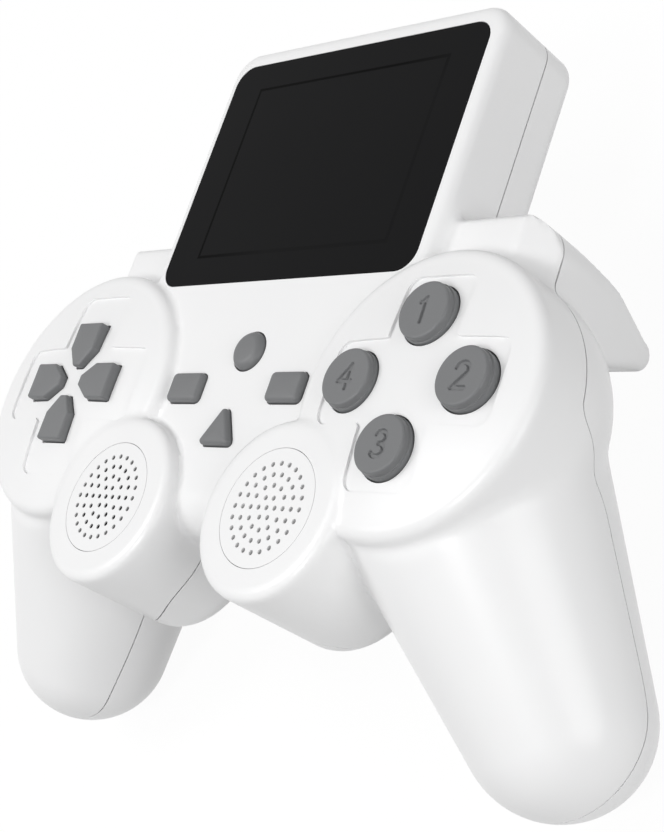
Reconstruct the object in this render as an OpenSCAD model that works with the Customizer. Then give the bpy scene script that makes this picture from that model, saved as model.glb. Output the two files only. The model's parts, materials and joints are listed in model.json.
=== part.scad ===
// Handheld game console in the shape of a two-handed gamepad with a screen block on top.
// It lies on its back: the keys and the screen face +Z, and the screen's top edge is towards +Y.
// The modules work from the middle of the screen lens, with z = 0 on the front face.

/* [Screen] */
// Width of the screen lens
lens_w = 66.9; // [62:0.1:76]
// Height of the screen lens
lens_h = 48.8; // [45:0.1:56]
// Corner radius of the screen lens
lens_corner = 4.2; // [2:0.1:6]
// Thickness of the screen lens
lens_t = 1.2; // [0.8:0.1:1.6]
// Ledge under the rim of the lens
lens_ledge = 2.2; // [1.5:0.1:3]
// Width of the display module
lcd_w = 60.3; // [50:0.1:61]
// Height of the display module
lcd_h = 42.7; // [36:0.1:43]
// Thickness of the display's glass cell
lcd_cell_t = 1.1; // [0.8:0.1:1.5]
// Thickness of the display's tray
lcd_tray_t = 2.4; // [1.8:0.1:3]

/* [Screen block] */
// Rim beside the lens
rim_side = 2.6; // [2:0.1:5]
// Rim above the lens
rim_top = 3.8; // [3.6:0.1:6]
// Depth of the screen block
block_depth = 20.5; // [20:0.1:24]
// Plan corner radius of the screen block
block_corner = 6; // [4:0.1:8]
// Rounding of the screen block's long edges
block_edge = 2.3; // [1:0.1:3]

/* [Body] */
// Wall of the shells
wall = 2; // [1.6:0.1:2.4]
// Depth of the parting line below the front face, at the block, the middle and the pods
seam_depth = 12.3; // [11.5:0.1:14]
// Depth of the parting line around the key pads and the shoulders
side_seam_depth = 9; // [7.5:0.1:11]
// Depth of the middle of the body
body_depth = 21.5; // [20:0.1:24]
// Half width of the middle of the body
body_half_w = 28; // [25:0.1:30]
// Lower edge of the middle of the body, below the middle of the lens
body_foot = 72; // [70:0.1:76]
// Rounding of that lower edge
body_foot_r = 7; // [4:0.1:9]

/* [Key pads] */
// Distance of each round key pad from the middle
pad_x = 44.5; // [43:0.1:48]
// Distance of the key pads below the middle of the lens
pad_drop = 47; // [45:0.1:50]
// Radius of a key pad
pad_r = 25.4; // [25:0.1:28]
// Rise of a key pad above the front face
pad_rise = 2; // [1.6:0.1:3]
// Rounding of a key pad's rim
pad_edge = 2.3; // [1.5:0.1:3.5]
// Rise of the domed middle of a key pad above its rim
pad_dome = 1.7; // [1:0.1:2.2]
// Depth of the belly behind a key pad
belly_depth = 28; // [26:0.1:32]
// Rounding of that belly
belly_r = 17; // [12:0.1:19]
// Half width of an arm of the plus-shaped recess
plus_half_w = 7.5; // [7:0.1:8.5]
// Reach of each arm of the recess from the keys' centre
plus_reach = 18.8; // [18:0.1:20]
// Depth of the recess below the dome
plus_depth = 0.5; // [0.3:0.05:0.9]
// Height of the keys' centre above the centre of the pad
keys_up = 0.95; // [0:0.05:2]

/* [Keys] */
// Travel of every key
key_travel = 1.2; // [0.6:0.1:1.6]
// Clearance of a key in its hole
key_gap = 0.25; // [0.15:0.05:0.4]
// Width of the flange that keeps a key in
key_flange = 0.7; // [0.5:0.1:0.9]
// Thickness of that flange
key_flange_t = 1; // [0.6:0.1:1.4]
// Height of the round buttons above the front face
key_top = 4.8; // [4.2:0.1:6]
// Height of the direction keys above the front face
dkey_top = 4.6; // [4:0.1:6]
// Half width of a direction key
dkey_half_w = 3.6; // [3:0.1:4]
// Outer end of a direction key from the keys' centre
dkey_out = 12.2; // [11:0.1:14]
// Where the point of a direction key starts
dkey_shoulder = 6.7; // [6.3:0.1:8]
// Inner tip of a direction key
dkey_tip = 3.1; // [2.8:0.1:4]
// Distance of the upper and lower round buttons from the keys' centre
button_up = 11.5; // [9.5:0.1:12.5]
// Distance of the inner and outer round buttons from the keys' centre
button_across = 12.5; // [9.5:0.1:13]
// Radius of a round button's skirt
button_r = 5.35; // [4.8:0.05:6]
// Radius of a round button's cap
cap_r = 5.1; // [4.2:0.05:5.4]
// Height of the cap above its skirt
cap_h = 1.3; // [0.8:0.1:2]
// Height of the middle keys above the front face
middle_top = 1.3; // [0.8:0.1:2]
// Distance of the reset button below the middle of the lens
reset_drop = 38.7; // [36:0.1:40]
// Radius of the reset button
reset_r = 3.7; // [3:0.1:4]
// Distance of the select and start keys from the middle
select_x = 13.4; // [13:0.1:14]
// Distance of the select and start keys below the middle of the lens
select_drop = 45.9; // [44:0.1:47]
// Width of the select and start keys
select_w = 8.4; // [7:0.1:9]
// Height of the select and start keys
select_h = 5.6; // [4:0.1:6]
// Distance of the volume key's middle below the middle of the lens
volume_drop = 54.4; // [53:0.1:55]
// Distance from the volume key's middle to its corners
volume_r = 5; // [4:0.1:5.4]
// Rounding of those corners
volume_corner = 0.7; // [0.3:0.1:1.2]

/* [Speaker pods] */
// Distance of each pod from the middle
pod_x = 21.8; // [21:0.1:24]
// Distance of the pods below the middle of the lens
pod_drop = 68.5; // [67:0.1:72]
// Radius of a pod
pod_r = 16; // [15:0.1:17]
// Rise of a pod above the front face
pod_rise = 2.8; // [2.2:0.1:4]
// Depth of a pod behind the front face
pod_depth = 24; // [21:0.1:27]
// Radius of a grille disc
grille_r = 10.5; // [9.5:0.1:12]
// Thickness of a grille disc
grille_t = 1.5; // [1:0.1:2]
// Radius of a grille hole
hole_r = 0.45; // [0.3:0.05:0.6]
// Spacing of the rings of holes
hole_pitch = 1.95; // [1.6:0.05:2.1]
// Rings of holes around the middle one
hole_rings = 4; // [2:1:4]
// Rings that go right through the speaker's grille
open_rings = 3; // [1:1:4]
// Radius of the loudspeaker
speaker_r = 9.8; // [8.5:0.1:10.2]
// Height of the loudspeaker
speaker_h = 4.5; // [3:0.1:6]

/* [Grips] */
// Radius of a grip's root behind its key pad
grip_root_r = 22.9; // [21:0.1:24]
// Distance of the root below the centre of its key pad
grip_root_below = 5.8; // [4:0.1:8]
// Depth of the root
grip_root_depth = 13.8; // [12:0.1:17]
// Radius of a grip's tip
grip_tip_r = 15.5; // [13:0.1:17]
// Distance of a tip from the middle
grip_tip_x = 61.2; // [58:0.1:66]
// Distance of a tip below the middle of the lens
grip_tip_drop = 87.1; // [84:0.1:94]
// Depth of a tip
grip_tip_depth = 34.3; // [31:0.1:39]
// Where the parting line starts to fall towards the grip, from its root
seam_bend = 4.6; // [3:0.1:7]
// Fall of the parting line there, for each step along the grip
seam_fall = 1.8; // [1.2:0.1:2.4]
// Fall of the parting line across the outer side of a pod
pod_seam_fall = 0.65; // [0.3:0.05:0.9]

/* [Shoulders] */
// Outer side of a shoulder from the middle
shoulder_x = 57; // [54:0.1:59]
// Upper edge of a shoulder below the middle of the lens
shoulder_drop = 12.8; // [12:0.1:16]
// Depth of a shoulder's front below the front face
shoulder_front = 3.5; // [2.5:0.1:5]
// Depth of a shoulder's tongue
shoulder_depth = 37; // [33:0.1:40]
// Distance of the tongue's end below the middle of the lens
tongue_drop = 23.6; // [22:0.1:26]
// Rounding of the tongue's end
tongue_r = 2.8; // [2:0.1:3.5]
// Rounding of a shoulder's outer edges
shoulder_edge = 3.4; // [2:0.1:5]
// Plan corner radius of a shoulder
shoulder_corner = 5.6; // [3:0.1:8]

/* [Board and battery] */
// Depth of the board's front below the front face
board_depth = 8; // [7.4:0.1:8.6]
// Thickness of the board
board_t = 1.6; // [1:0.1:1.8]
// Thickness of the rubber key mats
mat_t = 1; // [0.6:0.1:1.4]
// Radius of a rubber dome at its foot
dome_foot_r = 3; // [2.4:0.1:3.2]
// Radius of a rubber dome at its top
dome_top_r = 2.2; // [1.6:0.1:2.3]
// Width of the battery
battery_w = 40; // [34:0.5:42]
// Height of the battery
battery_h = 30; // [24:0.5:32]
// Thickness of the battery
battery_t = 5.2; // [4:0.1:5.6]
// Half width of the battery door
door_half_w = 22; // [21.5:0.1:22.4]
// Lower edge of the battery door below the middle of the lens
door_drop = 12; // [10:0.5:13]
// Travel of the battery door
door_travel = 12; // [8:0.5:12]
// Clearance of the battery door in its opening
door_gap = 0.25; // [0.15:0.05:0.4]
// Travel of the power switch
switch_travel = 2; // [1.5:0.1:3]
// Distance of the power switch from the middle
switch_x = 13; // [11:0.5:16]

/* [Screws] */
// Radius of a screw's shank
screw_r = 1; // [0.8:0.05:1.2]
// Radius of a screw's head
screw_head_r = 2; // [1.8:0.05:2.1]
// Height of a screw's head
screw_head_h = 1.4; // [1:0.1:1.8]
// Length of a shell screw's shank
screw_l = 10; // [9:0.5:11]
// Length of a board screw's shank
board_screw_l = 5; // [4:0.5:5.5]
// Clearance around a screw
screw_gap = 0.1; // [0.05:0.05:0.2]

/* [Hidden] */
$fn = 48;

zone_over = 0.3;     // how far the middle parting plane runs past the block's sides
seat_gap = 0.1;      // between faces that rest on each other through a soft layer
far = 200;           // longer than the whole object
fillet_least = 0.4;  // smallest fillet left inside a wall

// Screen block
block_half_w = lens_w / 2 + rim_side;
block_top = lens_h / 2 + rim_top;
block_foot = -(pad_drop - pad_r / 2);

// Whole object, for its origin under the middle of its box
lowest = -grip_tip_depth - grip_tip_r;
nearest = -grip_tip_drop - grip_tip_r;
middle_y = (block_top + nearest) / 2;

// Grip axis
grip_root = [pad_x, -pad_drop - grip_root_below, -grip_root_depth];
grip_tip = [grip_tip_x, -grip_tip_drop, -grip_tip_depth];
grip_run = grip_tip - grip_root;
grip_heading = atan2(grip_run[1], grip_run[0]);
grip_flat = norm([grip_run[0], grip_run[1]]);
grip_slope = grip_run[2] / grip_flat;
grip_pitch = atan(-grip_slope);
grip_lid = 1;

// Parting line of the right grip, in steps along it: down the pad, along the grip's side, level round its end
seam_low = 0.6;
seam_start = -grip_root_depth - seam_low;
seam_meet = (seam_bend * seam_fall - side_seam_depth - seam_start) / (seam_fall + grip_slope);
seam_level = 0.92 * (seam_start + grip_slope * grip_flat) + 0.08 * lowest;
seam_end = (seam_level - seam_start) / grip_slope;

// Keys
keys_y = -pad_drop + keys_up;
pad_inside = pad_rise - wall;
pad_face_r = pad_r - pad_edge - 0.4;
pad_ball_r = (pad_face_r * pad_face_r + pad_dome * pad_dome) / (2 * pad_dome);
key_play = 0.2;
board_top = -board_depth;
board_back = board_top - board_t;
mat_top = board_top + mat_t;
pod_floor = pod_rise - grille_t;
pod_inside = pod_floor - wall + 0.2;
grille_gap = 0.1;

// Display stack
lcd_gap = 0.3;
cell_top = -lens_t - lcd_gap;
tray_top = cell_top - lcd_gap;
tray_rim = 1.2;
tray_back = tray_top - lcd_tray_t;

// Screws: the block's, the middle's and the grips' on the right side, mirrored to the left
boss_r = 2.3;
head_well_r = screw_head_r + screw_gap + 0.15;
rear_boss_r = head_well_r + 1.1;
boss_seat = 4;
top_screw = [block_half_w - 9, block_top - wall - boss_r + 0.2];
mid_screw = [block_half_w - 5, -lens_h / 2 - 4.6];
grip_screw_at = 0.6;
grip_screw = [for (i = [0, 1]) grip_root[i] + grip_screw_at * grip_run[i]];
shell_screw_spots = [top_screw, mid_screw, grip_screw];
board_screw_spots = [[body_half_w - 4.6, -lens_h / 2 - 6.6], [6, -volume_drop - volume_r - 3.4]];

// Board, processor and ribbon
board_upper = lens_h / 2 - 4;
board_shoulder = lens_h / 2 + 12;
board_foot_w = 24;
board_foot_h = 12;
blob_r = 7;
blob_h = 1.4;
holder_gap = 1;
holder_w = 5;
ribbon_w = lcd_w * 0.36;
ribbon_t = 0.3;
ribbon_out = 2.4;

// Battery bay
rear_inside = -block_depth + wall;
battery_back = rear_inside + door_gap;
battery_low = board_upper - battery_h;
door_flange = 0.8;
door_flange_t = 1;
door_rail_t = 1.2;
door_flange_run = block_top - wall - door_travel + door_drop - 2;
door_lip_top = -seam_depth - 1.8;
bay_rib_t = 1;

// Ports on the top edge
port_half_w = door_half_w - 2;
socket_w = 9;
socket_h = 3.2;
socket_l = block_top - 0.4 - board_upper;
switch_w = 8.6;
switch_h = 3.4;
switch_l = 4.2;
knob_w = 2.6;
knob_t = 1.4;
knob_recess = 1;

// A seam's depth under a point of the right half
function grip_seam(p) =
  seam_start + grip_slope * ((p[0] - grip_root[0]) * cos(grip_heading) + (p[1] - grip_root[1]) * sin(grip_heading));
function seam_at(p) = p == grip_screw ? grip_seam(p) : -seam_depth;

// Sets the object on the ground plane, under the middle of its box
module placed() {
  translate([0, -middle_y, -lowest])
    children();
}

module both_sides() {
  children();
  mirror([1, 0, 0])
    children();
}

// Rectangle with round corners, centred
module round_rect(w, h, r) {
  square([w - 2 * r, h], center = true);
  square([w, h - 2 * r], center = true);
  for (x = [-1, 1], y = [-1, 1])
    translate([x * (w / 2 - r), y * (h / 2 - r)])
      circle(r);
}

// Half profile of a round body from lo to hi, with a fillet at each end
module half_profile(r, lo, hi, r_lo, r_hi) {
  intersection() {
    translate([0, lo])
      square([r, hi - lo]);
    union() {
      translate([0, lo])
        square([r - r_lo, hi - lo]);
      translate([0, lo + r_lo])
        square([r, hi - lo - r_lo - r_hi]);
      translate([r - r_lo, lo + r_lo])
        circle(r_lo);
      translate([0, lo + r_lo])
        square([r - r_hi, hi - lo - r_lo]);
      translate([r - r_hi, hi - r_hi])
        circle(r_hi);
    }
  }
}

module round_body(r, lo, hi, r_lo, r_hi) {
  rotate_extrude()
    half_profile(r, lo, hi, r_lo, r_hi);
}

// Half profile of a key pad's dome out to radius r
module dome_profile(r) {
  intersection() {
    translate([0, pad_rise - pad_edge])
      square([r, pad_edge + pad_dome]);
    translate([0, pad_rise + pad_dome - pad_ball_r])
      circle(pad_ball_r, $fn = 720);
  }
}

// A key pad and the belly behind it, with its domed face
module pad_form(inset) {
  rotate_extrude() {
    half_profile(pad_r - inset, -belly_depth + inset, pad_rise - inset, belly_r - inset,
      max(pad_edge - inset, fillet_least));
    if (inset == 0)
      dome_profile(pad_face_r + 0.2);
  }
}

// Slab with round plan corners and round long edges
module slab(w, y_lo, y_hi, z_lo, z_hi, corner, edge) {
  l = y_hi - y_lo;
  h = z_hi - z_lo;
  translate([0, (y_lo + y_hi) / 2, (z_lo + z_hi) / 2])
    intersection() {
      linear_extrude(h, center = true)
        round_rect(w, l, corner);
      rotate([90, 0, 0])
        linear_extrude(l, center = true)
          round_rect(w, h, edge);
      rotate([90, 0, 90])
        linear_extrude(w, center = true)
          round_rect(l, h, edge);
    }
}

// Round bar that tapers from a ball at the grip's root to a ball at its tip
module grip_form(inset) {
  r0 = grip_root_r - inset;
  r1 = grip_tip_r - inset;
  run = norm(grip_run);
  lean = asin((r0 - r1) / run);
  translate(grip_root)
    rotate([0, acos(grip_run[2] / run), grip_heading])
      rotate_extrude()
        intersection() {
          translate([0, -r0])
            square([r0, run + r0 + r1]);
          union() {
            circle(r0);
            translate([0, run])
              circle(r1);
            polygon([
              [0, 0],
              [r0 * cos(lean), r0 * sin(lean)],
              [r1 * cos(lean), run + r1 * sin(lean)],
              [0, run]
            ]);
          }
        }
}

// Side view of a shoulder: y to the right, z up
module shoulder_side() {
  top = -shoulder_drop;
  tip = [-tongue_drop, -shoulder_depth + tongue_r];
  root = -pad_drop + belly_r;
  polygon([
    [top - 1, -shoulder_front],
    [root, -shoulder_front],
    [root, -side_seam_depth - belly_r],
    [tip[0] - tongue_r * 0.97, tip[1]],
    [tip[0] + tongue_r * 0.97, tip[1]],
    [top - 3.6, -side_seam_depth - (shoulder_depth - side_seam_depth) * 0.55],
    [top - 1, -side_seam_depth - 3],
    [top, -shoulder_front - 1]
  ]);
  translate(tip)
    circle(tongue_r);
}

module shoulder_form() {
  inner = block_half_w - 2 * wall;
  intersection() {
    translate([inner, 0, 0])
      rotate([90, 0, 90])
        linear_extrude(shoulder_x - inner)
          shoulder_side();
    translate([inner - shoulder_edge, -pad_drop, -shoulder_depth])
      linear_extrude(shoulder_depth)
        translate([(shoulder_x - inner + shoulder_edge) / 2, (pad_drop - shoulder_drop) / 2])
          round_rect(shoulder_x - inner + shoulder_edge, pad_drop - shoulder_drop, shoulder_corner);
    translate([inner - shoulder_edge, 0, -shoulder_depth])
      rotate([90, 0, 0])
        linear_extrude(pad_drop)
          translate([(shoulder_x - inner + shoulder_edge) / 2, (shoulder_depth - shoulder_front) / 2])
            round_rect(shoulder_x - inner + shoulder_edge, shoulder_depth - shoulder_front, shoulder_edge);
  }
}

// The closed outer form, drawn in by inset on every side
module body_form(inset) {
  slab(2 * (block_half_w - inset), block_foot, block_top - inset, -block_depth + inset, -inset,
    block_corner - inset, max(block_edge - inset, fillet_least));
  slab(2 * (body_half_w - inset), -body_foot + inset, -lens_h / 2, -body_depth + inset, -inset,
    fillet_least, body_foot_r - inset);
  both_sides() {
    translate([pad_x, -pad_drop, 0])
      pad_form(inset);
    intersection() {
      grip_form(inset);
      translate([0, -far, -far - inset - grip_lid])
        cube(far);
    }
  }
}

module pod_forms(inset, front) {
  both_sides()
    translate([pod_x, -pod_drop, 0])
      round_body(pod_r - inset, -pod_depth + inset, front, 4 - inset, max(1.6 - inset, fillet_least));
}

module outer_form() {
  body_form(0);
  pod_forms(0, pod_rise);
  both_sides()
    shoulder_form();
}

module hollow_form() {
  body_form(wall);
  pod_forms(wall, pod_inside);
}

// What lies in front of the right grip's parting line, and of the outer side of its pod
module grip_front() {
  intersection() {
    translate([grip_root[0], grip_root[1], 0])
      rotate([90, 0, grip_heading])
        translate([0, 0, -1.3 * grip_root_r])
          linear_extrude(3.1 * grip_root_r)
            polygon([
              [seam_bend - 1, -side_seam_depth + seam_fall],
              [seam_meet, seam_start + grip_slope * seam_meet],
              [seam_end, seam_level],
              [far / 2, seam_level],
              [far / 2, far / 4],
              [seam_bend - 1, far / 4]
            ]);
    rotate([90, 0, 0])
      linear_extrude(far)
        polygon([
          [pod_x - pod_r / 2 - 1, -seam_depth + pod_seam_fall],
          [far, -seam_depth - pod_seam_fall * (far - pod_x + pod_r / 2)],
          [far, far],
          [pod_x - pod_r / 2 - 1, far]
        ]);
  }
}

// Everything in front of the parting line
module front_zone() {
  translate([-block_half_w - zone_over, -far / 2, -seam_depth])
    cube([2 * (block_half_w + zone_over), far, far]);
  translate([-far / 2, -far / 2, -side_seam_depth])
    cube(far);
  both_sides()
    grip_front();
}

// Outlines of the keys, each around its own centre and grown by g
module dkey_outline(g) {
  s = g * tan(22.5);
  w = dkey_half_w + g;
  tip = dkey_tip - g * sqrt(2) - 0.6;
  polygon([
    [-w, dkey_out + g],
    [-w, dkey_shoulder - s],
    [-1, tip + 0.6],
    [1, tip + 0.6],
    [w, dkey_shoulder - s],
    [w, dkey_out + g]
  ]);
}

module select_outline(g) {
  round_rect(select_w + 2 * g, select_h + 2 * g, 1 + g);
}

module volume_outline(g) {
  r = volume_corner + g;
  spread = volume_r - 2 * volume_corner;
  polygon([
    for (a = [90, 210, 330], b = [-60 : 20 : 60])
      [spread * cos(a) + r * cos(a + b), spread * sin(a) + r * sin(a + b)]
  ]);
}

// Places of the keys
module at_dkey(turn) {
  translate([-pad_x, keys_y, 0])
    rotate(turn)
      children();
}

module at_button(turn) {
  translate([pad_x, keys_y, 0])
    rotate(turn)
      translate([0, turn % 180 == 0 ? button_up : button_across, 0])
        children();
}

module at_reset() {
  translate([0, -reset_drop, 0])
    children();
}

module at_select(side) {
  translate([side * select_x, -select_drop, 0])
    children();
}

module at_volume() {
  translate([0, -volume_drop, 0])
    children();
}

module key_holes() {
  translate([0, 0, -seam_depth / 2])
    linear_extrude(seam_depth) {
      for (turn = [0, 90, 180, 270]) {
        at_dkey(turn)
          dkey_outline(key_gap);
        at_button(turn)
          circle(button_r + key_gap);
      }
      at_reset()
        circle(reset_r + key_gap);
      for (side = [-1, 1])
        at_select(side)
          select_outline(key_gap);
      at_volume()
        volume_outline(key_gap);
    }
}

// Recess around the keys of a pad, with a floor that follows the pad's dome
module plus_recess() {
  both_sides()
    difference() {
      translate([pad_x, keys_y, pad_rise - pad_edge / 2])
        linear_extrude(pad_edge + pad_dome)
          for (turn = [0, 90])
            rotate(turn)
              round_rect(2 * plus_reach, 2 * plus_half_w, 2.4);
      translate([pad_x, -pad_drop, -plus_depth])
        rotate_extrude()
          dome_profile(pad_r);
    }
}

// Ports cut through the top wall
module port_cuts() {
  translate([-socket_w / 2 - 0.3, block_top - wall - 1, board_back - socket_h - 0.3])
    cube([socket_w + 0.6, wall + 2, socket_h + 0.6]);
  translate([switch_x - knob_w / 2 - 0.4, block_top - wall - 1, board_back - switch_h / 2 - knob_t / 2 - 0.3])
    cube([knob_w + switch_travel + 0.8, wall + 2, knob_t + 0.6]);
  translate([switch_x - knob_w / 2 - 2, block_top - knob_recess, board_back - switch_h / 2 - knob_t / 2 - 0.9])
    cube([knob_w + switch_travel + 4, knob_recess + 1, knob_t + 1.8]);
}

// Opening of the battery door, with the clearance g
module door_cut(g) {
  translate([-door_half_w - g, -door_drop - g, -block_depth - 1])
    cube([2 * (door_half_w + g), block_top + door_drop + g + 1, wall + 1]);
  translate([-door_half_w - g, block_top - wall - g, -block_depth - 1])
    cube([2 * (door_half_w + g), wall + g + 1, door_lip_top + block_depth + 1 + g]);
}

// Round post of radius r from wall to wall inside the right grip
module grip_post(r) {
  intersection() {
    translate([grip_screw[0], grip_screw[1], -far / 2])
      cylinder(h = far, r = r);
    grip_form(wall / 2);
  }
}

module front_bosses() {
  both_sides() {
    for (p = [top_screw, mid_screw])
      translate([p[0], p[1], -seam_depth])
        cylinder(h = seam_depth - wall / 2, r = boss_r);
    intersection() {
      translate([mid_screw[0], mid_screw[1], -2 * wall])
        cylinder(h = pad_rise + 1.5 * wall, r = boss_r - 0.3);
      translate([pad_x, -pad_drop, -far / 2])
        cylinder(h = far, r = pad_r - 1.5 * wall);
    }
    for (p = board_screw_spots)
      translate([p[0], p[1], board_top])
        cylinder(h = board_depth - wall / 2, r = boss_r);
    intersection() {
      grip_post(boss_r);
      grip_front();
    }
  }
}

module rear_bosses() {
  both_sides() {
    for (p = [top_screw, mid_screw])
      translate([p[0], p[1], rear_inside - wall / 2])
        cylinder(h = -seam_depth - rear_inside + wall / 2, r = rear_boss_r);
    difference() {
      grip_post(rear_boss_r);
      grip_front();
    }
  }
}

module front_shell() {
  color("white")
    placed()
      difference() {
        union() {
          difference() {
            intersection() {
              outer_form();
              front_zone();
            }
            hollow_form();
          }
          front_bosses();
          translate([-pod_x, -pod_drop, pod_inside - speaker_h + 1])
            difference() {
              cylinder(h = speaker_h, r = speaker_r + 1.2);
              translate([0, 0, -1])
                cylinder(h = speaker_h, r = speaker_r + seat_gap);
            }
        }
        translate([0, 0, -lens_t])
          linear_extrude(far)
            round_rect(lens_w + 2 * seat_gap, lens_h + 2 * seat_gap, lens_corner);
        translate([0, 0, -seam_depth / 2])
          linear_extrude(far)
            round_rect(lens_w - 2 * lens_ledge, lens_h - 2 * lens_ledge, lens_corner - lens_ledge / 2);
        plus_recess();
        key_holes();
        both_sides()
          translate([pod_x, -pod_drop, pod_floor])
            cylinder(h = far, r = grille_r + grille_gap);
        translate([-pod_x, -pod_drop, pod_floor - wall])
          cylinder(h = far, r = speaker_r - 1.2);
        both_sides() {
          for (p = shell_screw_spots)
            translate([p[0], p[1], seam_at(p) - boss_seat])
              cylinder(h = screw_l + 1, r = screw_r + screw_gap / 2);
          for (p = board_screw_spots)
            translate([p[0], p[1], board_back])
              cylinder(h = board_screw_l + 0.5, r = screw_r + screw_gap / 2);
        }
        port_cuts();
      }
}

module rear_shell() {
  color("white")
    placed()
      difference() {
        union() {
          difference() {
            outer_form();
            hollow_form();
            front_zone();
          }
          rear_bosses();
          both_sides()
            translate([door_half_w + door_flange + 0.4, -door_drop, rear_inside - wall / 2])
              cube([bay_rib_t, battery_h, battery_t + wall / 2]);
        }
        both_sides()
          for (p = shell_screw_spots) {
            translate([p[0], p[1], seam_at(p) - boss_seat - 1])
              cylinder(h = far, r = screw_r + screw_gap);
            translate([p[0], p[1], seam_at(p) - boss_seat - far])
              cylinder(h = far, r = head_well_r);
          }
        door_cut(0);
        port_cuts();
      }
}

module screen_lens() {
  color([0.1, 0.1, 0.11])
    placed()
      translate([0, 0, -lens_t])
        linear_extrude(lens_t)
          round_rect(lens_w, lens_h, lens_corner);
}

module lcd_panel() {
  color([0.07, 0.07, 0.08])
    placed()
      translate([0, 0, cell_top - lcd_cell_t])
        linear_extrude(lcd_cell_t)
          square([lcd_w - 2 * tray_rim - 2 * seat_gap, lcd_h - 2 * tray_rim - 2 * seat_gap], center = true);
}

module lcd_tray() {
  color("silver")
    placed()
      difference() {
        translate([0, 0, tray_back])
          linear_extrude(lcd_tray_t)
            square([lcd_w, lcd_h], center = true);
        translate([0, 0, cell_top - lcd_cell_t])
          linear_extrude(far)
            square([lcd_w - 2 * tray_rim, lcd_h - 2 * tray_rim], center = true);
      }
}

module lcd_holder() {
  color("dimgray")
    placed()
      translate([0, 0, board_top])
        linear_extrude(tray_back - board_top)
          difference() {
            square([lcd_w - 2 * holder_gap, lcd_h - 2 * holder_gap], center = true);
            square([lcd_w - 2 * (holder_gap + holder_w), lcd_h - 2 * (holder_gap + holder_w)], center = true);
          }
}

module lcd_ribbon() {
  edge = -lcd_h / 2;
  color("peru")
    placed() {
      translate([-ribbon_w / 2, edge - ribbon_out, tray_back + ribbon_t])
        cube([ribbon_w, ribbon_out, ribbon_t]);
      translate([-ribbon_w / 2, edge - ribbon_out, board_top])
        cube([ribbon_w, ribbon_t, tray_back + ribbon_t - board_top]);
      translate([-ribbon_w / 2, edge - 2 * ribbon_out, board_top])
        cube([ribbon_w, ribbon_out, ribbon_t]);
    }
}

// Outline of the board: a tongue behind the screen, a bar behind the keys and a round end behind each pad
module board_outline() {
  translate([-lcd_w / 2, -board_shoulder])
    square([lcd_w, board_upper + board_shoulder]);
  translate([-pad_x, keys_y - dkey_out])
    square([2 * pad_x, 2 * dkey_out]);
  translate([-board_foot_w / 2, -volume_drop - volume_r - 7])
    square([board_foot_w, board_foot_h]);
  translate([-port_half_w, 0])
    square([2 * port_half_w, block_top - wall - 0.4]);
  for (side = [-1, 1])
    translate([side * pad_x, keys_y])
      circle(dkey_out + 4);
}

module main_board() {
  color("darkgreen")
    placed()
      translate([0, 0, board_back])
        linear_extrude(board_t)
          difference() {
            board_outline();
            for (side = [-1, 1]) {
              translate([side * mid_screw[0], mid_screw[1]])
                circle(rear_boss_r + 0.4);
              for (p = board_screw_spots)
                translate([side * p[0], p[1]])
                  circle(screw_r + screw_gap);
            }
          }
}

module processor_blob() {
  color([0.08, 0.08, 0.08])
    placed()
      translate([0, -select_drop, board_back - blob_h])
        round_body(blob_r, 0, blob_h, 1, 0.2);
}

// Rubber dome from the mat up to a key's flange
module dome(top) {
  translate([0, 0, mat_top])
    cylinder(h = top - mat_top, r1 = dome_foot_r, r2 = dome_top_r);
}

pad_dome_top = pad_inside - key_play - key_flange_t - seat_gap;
middle_dome_top = -wall - key_play - key_flange_t - seat_gap;

module mat(outline_r, side) {
  translate([side * pad_x, keys_y, board_top])
    cylinder(h = mat_t, r = outline_r);
}

module dpad_membrane() {
  color("lightgray")
    placed() {
      mat(dkey_out + 3, -1);
      for (turn = [0, 90, 180, 270])
        at_dkey(turn)
          translate([0, (dkey_out + dkey_tip) / 2, 0])
            dome(pad_dome_top);
    }
}

module face_membrane() {
  color("lightgray")
    placed() {
      mat(dkey_out + 3, 1);
      for (turn = [0, 90, 180, 270])
        at_button(turn)
          dome(pad_dome_top);
    }
}

module middle_membrane() {
  mat_w = 2 * select_x + 2 * dome_foot_r + 3;
  color("lightgray")
    placed() {
      translate([0, -(reset_drop + volume_drop) / 2, board_top])
        linear_extrude(mat_t)
          round_rect(mat_w, volume_drop - reset_drop + 2 * dome_foot_r + 2, 3);
      at_reset()
        dome(middle_dome_top);
      for (side = [-1, 1])
        at_select(side)
          dome(middle_dome_top);
      at_volume()
        dome(middle_dome_top);
    }
}

// A key: its body from the flange to the top, and the wider flange behind the wall at z
module key_body(z, top) {
  translate([0, 0, z - key_play - key_flange_t])
    linear_extrude(top - z + key_play + key_flange_t)
      children();
}

module key_rim(z) {
  translate([0, 0, z - key_play - key_flange_t])
    linear_extrude(key_flange_t)
      children();
}

module direction_key(turn) {
  color("gray")
    placed()
      at_dkey(turn) {
        key_body(pad_inside, dkey_top)
          dkey_outline(0);
        key_rim(pad_inside)
          dkey_outline(key_flange);
      }
}

module round_button(turn) {
  color("gray")
    placed()
      at_button(turn) {
        translate([0, 0, pad_inside - key_play - key_flange_t]) {
          cylinder(h = key_flange_t, r = button_r + key_flange);
          round_body(button_r, 0, key_top - cap_h - pad_inside + key_play + key_flange_t, 0.2, 0.4);
        }
        round_body(cap_r, 0, key_top, 0.2, 0.9);
      }
}

module reset_button() {
  color("gray")
    placed()
      at_reset() {
        round_body(reset_r, -wall - key_play - key_flange_t, middle_top, 0.2, 1.2);
        key_rim(-wall)
          circle(reset_r + key_flange);
      }
}

module bar_button(side) {
  color("gray")
    placed()
      at_select(side) {
        key_body(-wall, middle_top)
          select_outline(0);
        key_rim(-wall)
          select_outline(key_flange);
      }
}

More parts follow.
